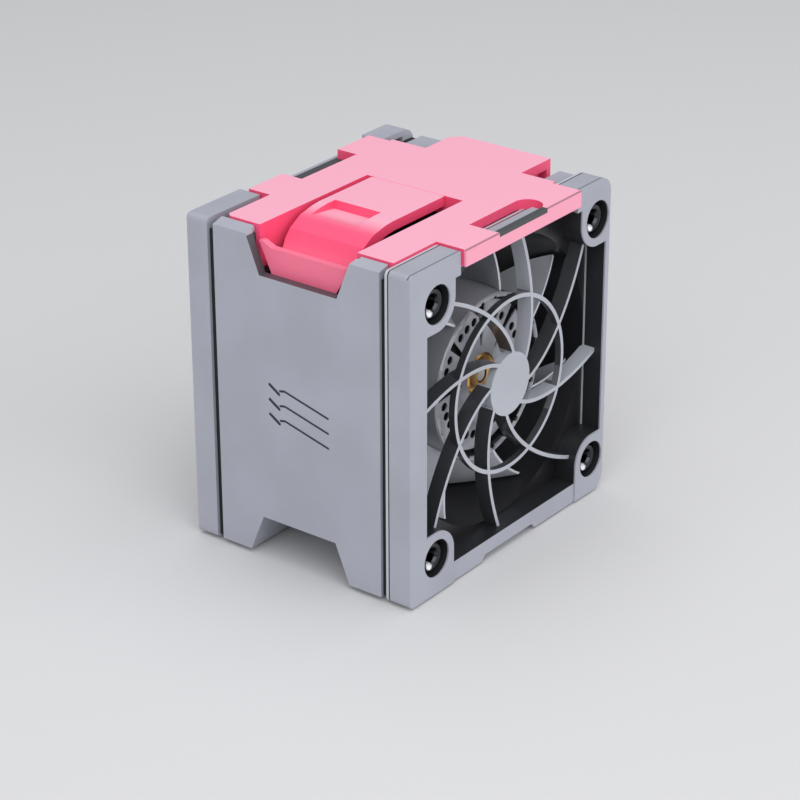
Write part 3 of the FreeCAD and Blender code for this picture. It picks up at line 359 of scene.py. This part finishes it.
def bump(tree, receiver, height, strength, depth):
    """Raise the surface by a height and hand its normal to the receiving node."""
    item = add_node(tree, "ShaderNodeBump")
    item.inputs["Strength"].default_value = strength
    item.inputs["Distance"].default_value = depth
    tree.links.new(height, item.inputs["Height"])
    tree.links.new(item.outputs["Normal"], receiver.inputs["Normal"])
    return item


def grain(tree, surface, scale, strength, depth, stretch=(1, 1, 1)):
    """Fine moulded or ground grain as a bump."""
    spot = add_node(tree, "ShaderNodeTexCoord")
    spread = add_node(tree, "ShaderNodeMapping")
    spread.inputs["Scale"].default_value = stretch
    noise = add_node(tree, "ShaderNodeTexNoise")
    noise.inputs["Scale"].default_value = scale
    noise.inputs["Detail"].default_value = 4
    tree.links.new(spot.outputs["Object"], spread.inputs["Vector"])
    tree.links.new(spread.outputs["Vector"], noise.inputs["Vector"])
    return bump(tree, surface, noise.outputs["Fac"], strength, depth)


def varied(tree, surface, colour, spread, scale, low_rough, high_rough):
    """Slow variation of roughness and colour over a surface; the colour is joined up and returned."""
    spot = add_node(tree, "ShaderNodeTexCoord")
    noise = add_node(tree, "ShaderNodeTexNoise")
    noise.inputs["Scale"].default_value = scale
    noise.inputs["Detail"].default_value = 3
    tree.links.new(spot.outputs["Object"], noise.inputs["Vector"])
    darker = tuple(part * (1 - spread) for part in colour)
    lighter = tuple(min(1, part * (1 + spread)) for part in colour)
    tone = mixed(tree, smooth(tree, noise.outputs["Fac"], *TONE_STEP), darker, lighter)
    rough = add_node(tree, "ShaderNodeMapRange")
    rough.inputs["To Min"].default_value = low_rough
    rough.inputs["To Max"].default_value = high_rough
    tree.links.new(noise.outputs["Fac"], rough.inputs["Value"])
    tree.links.new(tone, surface.inputs["Base Color"])
    tree.links.new(rough.outputs["Result"], surface.inputs["Roughness"])
    return tone


def moulded(name, colour, roughness, spread=0.05, grain_strength=0.10, coat=0.0, overlay=None):
    """Injection-moulded plastic: slight tone drift, a fine spark-eroded grain and painted-over regions.

    An overlay gets the tree and the tone and gives back the colour. It finds the grain's bump by name.
    """
    material, tree, surface = shader(name, colour, roughness, coat=coat)
    tone = varied(tree, surface, colour, spread, scale=60, low_rough=roughness - 0.05,
                  high_rough=roughness + 0.06)
    fine = grain(tree, surface, scale=5200, strength=grain_strength, depth=0.00003)
    fine.name = "grain"
    if overlay:
        tree.links.new(overlay(tree, tone), surface.inputs["Base Color"])
    return material


def from_hole(tree, x, z):
    """How far a place lies to the side of the nearest corner hole's axis, and how far above it."""
    side = minus(tree, x, both(tree, calc(tree, "SIGN", x), HOLE))
    level = minus(tree, z, both(tree, calc(tree, "SIGN", z), HOLE))
    return side, level


def frame_overlay(tree, tone):
    """The front frame's window walls and hole recesses lie in shade, with a light line at their rear edge.

    A painted line of shade crosses its top just behind the front edge.
    """
    x, y, z = place(tree)
    in_width = under(tree, unsigned(tree, x), WINDOW_SIDE + WINDOW_MARGIN)
    in_window = both(tree, in_width, under(tree, unsigned(tree, z), WINDOW_TOP + WINDOW_MARGIN))
    in_hole = under(tree, length(tree, *from_hole(tree, x, z)), HOLE_RADIUS + HOLE_MARGIN)
    inside = both(tree, either(tree, in_window, in_hole), over(tree, y, SHADE_START))
    shaded = mixed(tree, inside, tone, SHADE)
    at_rear = both(tree, over(tree, y, LIGHT_LINE_START), over(tree, x, WINDOW_SIDE - LIGHT_LINE_WIDTH))
    lined = mixed(tree, both(tree, at_rear, inside), shaded, HIGHLIGHT_GREY)
    shade_line = both(tree, between(tree, y, SHADE_LINE_FRONT, SHADE_LINE_BACK), over(tree, z, TOP - TOP_MARGIN))
    return mixed(tree, both(tree, shade_line, SHADE_LINE_STRENGTH), lined, SHADE)


def rear_overlay(tree, tone):
    """Between the cover's two rear tabs the rear frame's top falls in shade beside the cover."""
    x, y, z = place(tree)
    beside = both(tree, under(tree, y, STRIP_BACK), over(tree, z, TOP - STRIP_DROP))
    strip = both(tree, between(tree, x, STRIP_LEFT, STRIP_RIGHT), beside)
    return mixed(tree, both(tree, strip, STRIP_STRENGTH), tone, SHADE)


def guard_overlay(tree, tone):
    """The ring's and arms' sides fall in shade behind their front edges; two arms' sides catch the light."""
    x, _, z = place(tree)
    away = length(tree, x, z)
    growth = calc(tree, "LOGARITHM", calc(tree, "DIVIDE", away, GUARD_KNOT), math.e)
    start = minus(tree, calc(tree, "ARCTAN2", z, x), both(tree, growth, GUARD_TWIST))
    sideways = under(tree, unsigned(tree, facing(tree)[1]), GUARD_LEAN)
    near_ring = under(tree, unsigned(tree, minus(tree, away, GUARD_KNOT)), RING_HALF)
    on_ring = both(tree, near_ring, RING_STRENGTH)
    aside = 1.0
    for arm in LIT_ARMS:
        aside = both(tree, aside, over(tree, unsigned(tree, minus(tree, start, arm)), ARM_REACH))
    on_arms = both(tree, both(tree, aside, over(tree, away, DISC_RADIUS)), ARM_STRENGTH)
    return mixed(tree, both(tree, sideways, either(tree, on_ring, on_arms)), tone, SHADE)


def rotor_overlay(tree, tone):
    """The hub is darker than the blades, whose grey is partly painted highlight; its petals' gaps and holes
    and its rim's scallops lie in shade.
    """
    x, y, z = place(tree)
    away = length(tree, x, z)
    hub = mixed(tree, under(tree, away, HUB_RADIUS + HUB_MARGIN), tone, HUB_GREY)
    in_rim = under(tree, away, RIM_INNER)
    gaps = both(tree, over(tree, y, PETAL_PLANE + PETAL_DEPTH), in_rim)
    behind_rim = over(tree, y, RIM_PLANE + SCALLOP_DEPTH)
    scallops = both(tree, behind_rim, over(tree, away, PETAL_RADIUS + PETAL_MARGIN))
    return mixed(tree, either(tree, gaps, both(tree, scallops, in_rim)), hub, SHADE)


def flange_highlight_overlay(tree, tone):
    """The duct is black; the flange's rim that shows between the grooves carries a painted highlight in
    light grey.
    """
    x, y, z = place(tree)
    rim = either(tree, under(tree, x, FLANGE_LEFT), over(tree, z, FLANGE_TOP))
    rim = either(tree, rim, under(tree, z, FLANGE_BASE))
    return mixed(tree, both(tree, rim, between(tree, y, FLANGE_FRONT, FLANGE_BACK)), tone, HIGHLIGHT_GREY)


def stroke(tree, y, z, start, end, half_width):
    """1 within half a stroke's width of the line between two (y, z) points, softened at its edge."""
    run = (end[0] - start[0], end[1] - start[1])
    square = run[0] ** 2 + run[1] ** 2
    across = minus(tree, y, start[0])
    up = minus(tree, z, start[1])
    along = calc(tree, "ADD", both(tree, across, run[0] / square), both(tree, up, run[1] / square))
    share = calc(tree, "MINIMUM", either(tree, along, 0.0), 1.0)
    off_across = minus(tree, across, both(tree, share, run[0]))
    off_up = minus(tree, up, both(tree, share, run[1]))
    away = length(tree, off_across, off_up)
    return smooth(tree, away, half_width + STROKE_OUTSIDE, half_width - STROKE_INSIDE)


def wall_overlay(tree, tone):
    """Three engraved airflow arrows on the left wall, and shade on the edges of the latch's recess."""
    x, y, z = place(tree)
    drawn = 0.0
    for drop in ARROW_DROPS:
        for start, end, half_width in ARROW_STROKES:
            low_start = (start[0], start[1] - drop)
            low_end = (end[0], end[1] - drop)
            drawn = either(tree, drawn, stroke(tree, y, z, low_start, low_end, half_width))
    mark = both(tree, drawn, under(tree, x, WALL_FACE))
    bump(tree, tree.nodes["grain"], minus(tree, 1.0, mark), ENGRAVED_STRENGTH, ENGRAVED_DEPTH)
    level = between(tree, z, RECESS_LOW, RECESS_HIGH)
    across = between(tree, y, RECESS_FRONT, RECESS_BACK)
    turned = under(tree, unsigned(tree, facing(tree)[0]), RECESS_LEAN)
    edge = both(tree, both(tree, level, across), turned)
    marked = mixed(tree, mark, tone, ARROW_INK)
    return mixed(tree, both(tree, edge, RECESS_STRENGTH), marked, SHADE)


def pink_overlay(tree, tone):
    """The cover is paler with painted light where it faces up and on its front lip, and full pink on its
    sides.

    The lip's notch in front of the bar, and the dark rim along the lip's top, are painted on as shade.
    """
    x, y, z = place(tree)
    flat = smooth(tree, facing(tree)[2], *COVER_LEVEL)
    front = both(tree, under(tree, y, LIP_BACK), LIP_STRENGTH)
    pale = mixed(tree, either(tree, flat, front), tone, HIGHLIGHT_PINK)
    beside = under(tree, unsigned(tree, calc(tree, "ADD", x, NOTCH_SHIFT)), NOTCH_HALF)
    notch = both(tree, both(tree, beside, under(tree, y, NOTCH_BACK)), over(tree, z, NOTCH_BASE))
    rim = both(tree, under(tree, y, LIP_RIM_BACK), over(tree, z, LIP_RIM_BASE))
    lined = mixed(tree, both(tree, rim, LIP_RIM_STRENGTH), pale, LIP_SHADE)
    return mixed(tree, notch, lined, NOTCH_SHADE)


def latch_overlay(tree, tone):
    """The tongue is paler with painted light on its flat top, full pink round its curve and a little paler
    again with painted light at its lip.
    """
    x = place(tree)[0]
    level = smooth(tree, facing(tree)[2], *TONGUE_LEVEL)
    flat = both(tree, level, smooth(tree, x, *TONGUE_CURVE))
    foot = both(tree, smooth(tree, x, *TONGUE_FOOT), FOOT_STRENGTH)
    return mixed(tree, either(tree, flat, foot), tone, HIGHLIGHT_PINK)


def metal(name, colour, roughness, stretch=(1, 1, 1)):
    """Turned, drawn or ground metal with a directional grain."""
    material, tree, surface = shader(name, colour, roughness, metallic=1.0)
    varied(tree, surface, colour, spread=0.08, scale=160, low_rough=roughness - 0.06,
           high_rough=roughness + 0.08)
    grain(tree, surface, scale=2600, strength=0.08, depth=0.00002, stretch=stretch)
    return material


def rivet(name):
    """Bright plated rivet, dark in its hole, with the light caught low on the left as a painted spot."""
    material, tree, surface = shader(name, STEEL, 0.2, metallic=1.0)
    x, _, z = place(tree)
    side, level = from_hole(tree, x, z)
    off_side = calc(tree, "ADD", side, SPOT_LEFT)
    off_level = calc(tree, "ADD", level, SPOT_LOW)
    caught = smooth(tree, length(tree, off_side, off_level), SPOT_OUTER, SPOT_INNER)
    tree.links.new(mixed(tree, caught, RIVET_SHADE, RIVET_LIGHT), surface.inputs["Base Color"])
    tree.links.new(minus(tree, 1.0, caught), surface.inputs["Metallic"])
    grain(tree, surface, scale=1600, strength=0.10, depth=0.00003)
    return material


def rubber(name, colour):
    """Dull black material: the isolators' rubber and the magnet's bonded ferrite."""
    material, tree, surface = shader(name, colour, 0.72)
    varied(tree, surface, colour, spread=0.12, scale=90, low_rough=0.66, high_rough=0.82)
    grain(tree, surface, scale=3600, strength=0.25, depth=0.00004)
    return material


def laminated(name):
    """Stacked sheet steel: dark lines between the sheets along the axis."""
    material, tree, surface = shader(name, SHEET_STEEL, 0.42, metallic=1.0)
    spot = add_node(tree, "ShaderNodeTexCoord")
    wave = add_node(tree, "ShaderNodeTexWave", wave_type="BANDS", bands_direction="Y")
    wave.inputs["Scale"].default_value = 900
    tree.links.new(spot.outputs["Object"], wave.inputs["Vector"])
    tree.links.new(mixed(tree, wave.outputs["Fac"], SHEET_DARK, SHEET_LIGHT), surface.inputs["Base Color"])
    return material


def wound(name):
    """Enamelled copper winding: fine turns across the bobbin."""
    material, tree, surface = shader(name, COPPER, 0.28, metallic=0.9, coat=0.4)
    spot = add_node(tree, "ShaderNodeTexCoord")
    wave = add_node(tree, "ShaderNodeTexWave", wave_type="RINGS")
    wave.inputs["Scale"].default_value = 1400
    tree.links.new(spot.outputs["Object"], wave.inputs["Vector"])
    bump(tree, surface, wave.outputs["Fac"], strength=0.5, depth=0.0001)
    return material


def board_green(name):
    """Solder-masked board with faint traces."""
    material, tree, surface = shader(name, BOARD_GREEN, 0.35, coat=0.3)
    spot = add_node(tree, "ShaderNodeTexCoord")
    cells = add_node(tree, "ShaderNodeTexBrick")
    cells.inputs["Scale"].default_value = 420
    cells.inputs["Color1"].default_value = (*BOARD_DARK, 1)
    cells.inputs["Color2"].default_value = (*BOARD_LIGHT, 1)
    cells.inputs["Mortar"].default_value = (*TRACE_GREEN, 1)
    tree.links.new(spot.outputs["Object"], cells.inputs["Vector"])
    tree.links.new(cells.outputs["Color"], surface.inputs["Base Color"])
    return material


def shell(name, overlay=None):
    """The grey plastic of the frames and the casing."""
    return moulded(name, GREY, SHELL_ROUGHNESS, overlay=overlay)


def pink_plastic(name, overlay):
    return moulded(name, PINK, PINK_ROUGHNESS, spread=0.03, grain_strength=0.05, overlay=overlay)


MATERIALS = {
    "frame": shell("frame_plastic", frame_overlay),
    "grey": shell("grey_plastic"),
    "rear": shell("rear_plastic", rear_overlay),
    "wall": shell("wall_plastic", wall_overlay),
    "guard": moulded("guard_plastic", GUARD_GREY, 0.30, coat=0.3, overlay=guard_overlay),
    "duct": moulded("duct_plastic", DUCT_BLACK, 0.30, overlay=flange_highlight_overlay),
    "black": moulded("black_plastic", DUCT_BLACK, 0.34),
    "rotor": moulded("rotor_plastic", ROTOR_GREY_AND_HIGHLIGHT, 0.24, grain_strength=0.06, coat=0.8,
                     overlay=rotor_overlay),
    "pink": pink_plastic("pink_plastic", pink_overlay),
    "latch": pink_plastic("latch_plastic", latch_overlay),
    "rubber": rubber("isolator_rubber", RUBBER_BLACK),
    "rivet": rivet("plated_rivet"),
    "ground": metal("ground_steel", GROUND_STEEL, 0.24, stretch=(1, 30, 1)),
    "spring": metal("spring_steel", SPRING_STEEL, 0.32),
    "brass": metal("turned_brass", BRASS, 0.24, stretch=(1, 40, 1)),
    "yoke": metal("drawn_steel", DRAWN_STEEL, 0.30, stretch=(1, 12, 1)),
    "magnet": rubber("bonded_ferrite", FERRITE),
    "core": laminated("lamination"),
    "insulator": moulded("cream_plastic", INSULATOR_CREAM, 0.45),
    "copper": wound("copper_winding"),
    "board": board_green("board"),
    "chip": moulded("chip_plastic", CHIP_BLACK, 0.5),
    "connector": moulded("connector_plastic", CONNECTOR_CREAM, 0.42),
}

NODE_LOOKS = {
    "front_frame": "frame", "front_guard": "guard", "casing": "wall", "rear_frame": "rear",
    "fan_frame": "duct", "motor_mount": "black", "impeller": "rotor", "top_cover": "pink", "latch": "latch",
    "front_isolator": "rubber", "rear_isolator": "rubber",
    "front_eyelets": "rivet", "rear_eyelets": "rivet",
    "rotor_bush": "brass", "bearing_tube": "brass", "connector_pins": "brass",
    "rotor_yoke": "yoke", "ring_magnet": "magnet", "shaft": "ground",
    "retaining_clip": "spring", "preload_washer": "spring",
    "front_bearing_outer": "ground", "front_bearing_inner": "ground", "front_bearing_balls": "ground",
    "rear_bearing_outer": "ground", "rear_bearing_inner": "ground", "rear_bearing_balls": "ground",
    "stator_core": "core", "insulator_front": "insulator", "insulator_rear": "insulator",
    "stator_coils": "copper", "driver_board": "board", "board_components": "chip",
    "connector_housing": "connector",
}

# Edge radius by node, in millimetres: a moulded edge is never sharp
EDGE_RADII = {
    "front_frame": 0.35, "casing": 0.35, "rear_frame": 0.35, "top_cover": 0.30, "latch": 0.30,
    "front_guard": 0.14, "fan_frame": 0.15, "impeller": 0.12, "connector_housing": 0.10,
}
EDGE_SEGMENTS = 3
EDGE_ANGLE = math.radians(40)


def dress_nodes():
    """Put the detailed materials on the CAD nodes and soften their moulded edges."""
    for name, item in nodes.items():
        item.data.materials.clear()
        item.data.materials.append(MATERIALS[NODE_LOOKS[name]])
        if name in EDGE_RADII:
            bevel = item.modifiers.new("edge", "BEVEL")
            bevel.width = EDGE_RADII[name] * MM
            bevel.segments = EDGE_SEGMENTS
            bevel.limit_method = "ANGLE"
            bevel.angle_limit = EDGE_ANGLE
            bevel.harden_normals = True
            bevel.use_clamp_overlap = True


def block(name, low, high, look, cuts=1):
    """A box between two corners in millimetres, cut along X into slices."""
    verts = []
    for step in range(cuts + 1):
        x = low[0] + (high[0] - low[0]) * step / cuts
        for y, z in ((low[1], low[2]), (high[1], low[2]), (high[1], high[2]), (low[1], high[2])):
            verts.append(Vector((x, y, z)) * MM)
    faces = [(0, 3, 2, 1), tuple(4 * cuts + corner for corner in range(4))]
    for step in range(cuts):
        for corner in range(4):
            near = 4 * step + corner
            beside = 4 * step + (corner + 1) % 4
            faces.append((near, beside, beside + 4, near + 4))
    mesh = bpy.data.meshes.new(name)
    mesh.from_pydata(verts, [], faces)
    mesh.update()
    item = bpy.data.objects.new(name, mesh)
    bpy.context.scene.collection.objects.link(item)
    item.data.materials.append(MATERIALS[look])
    return item


def added_pieces():
    """The living hinge across the latch's root, and the front frame's bar that shows in the cover's slot."""
    hinge = block("living_hinge", HINGE_LOW, HINGE_HIGH, "latch", HINGE_CUTS)
    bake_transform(hinge)
    bar = block("slot_bar", BAR_LOW, BAR_HIGH, "grey")
    bevel = bar.modifiers.new("edge", "BEVEL")
    bevel.width = BAR_EDGE * MM
    bevel.segments = 2
    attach(bar, "housing")


def area_light(name, spot, size, power):
    data = bpy.data.lights.new(name, "AREA")
    data.shape = "RECTANGLE"
    data.size, data.size_y = size
    data.energy = power
    item = bpy.data.objects.new(name, data)
    bpy.context.scene.collection.objects.link(item)
    item.location = spot
    item.rotation_euler = (Vector(LAMP_TARGET) - Vector(spot)).to_track_quat("-Z", "Y").to_euler()


def stage():
    """A plain pale floor and soft studio light at a plain level."""
    scene = bpy.context.scene
    low = cad_box[0][2]
    bpy.ops.mesh.primitive_plane_add(size=FLOOR_SIZE, location=(0, 0, low - FLOOR_GAP))
    floor = bpy.context.object
    floor.name = "floor"
    paint, _, surface = shader("floor_paint", FLOOR_GREY, roughness=0.9)
    surface.inputs["Specular IOR Level"].default_value = 0.15
    floor.data.materials.append(paint)
    for lamp in LAMPS:
        area_light(*lamp)
    world = bpy.data.worlds.new("studio")
    world.use_nodes = True
    background = world.node_tree.nodes["Background"]
    background.inputs["Color"].default_value = (*WORLD_TINT, 1)
    background.inputs["Strength"].default_value = WORLD_LEVEL
    scene.world = world
    scene.view_settings.view_transform = "Standard"
    scene.view_settings.look = "None"


def camera():
    """A camera where the photograph was taken from, turned by its azimuth, elevation and roll."""
    azimuth = math.radians(CAMERA_AZIMUTH)
    elevation = math.radians(CAMERA_ELEVATION)
    roll = math.radians(CAMERA_ROLL)
    level = math.cos(elevation)
    back = Vector((math.sin(azimuth) * level, -math.cos(azimuth) * level, math.sin(elevation)))
    right = Vector((math.cos(azimuth), math.sin(azimuth), 0))
    up = back.cross(right)
    turned_right = math.cos(roll) * right + math.sin(roll) * up
    turned_up = -math.sin(roll) * right + math.cos(roll) * up
    data = bpy.data.cameras.new("camera")
    data.lens = LENS
    data.sensor_width = SENSOR
    data.clip_start = CAMERA_CLIP
    item = bpy.data.objects.new("camera", data)
    bpy.context.scene.collection.objects.link(item)
    turn = Matrix((turned_right, turned_up, back)).transposed()
    item.matrix_world = Matrix.Translation(CAMERA_PLACE) @ turn.to_4x4()
    bpy.context.scene.camera = item


dress_nodes()
added_pieces()
stage()
camera()
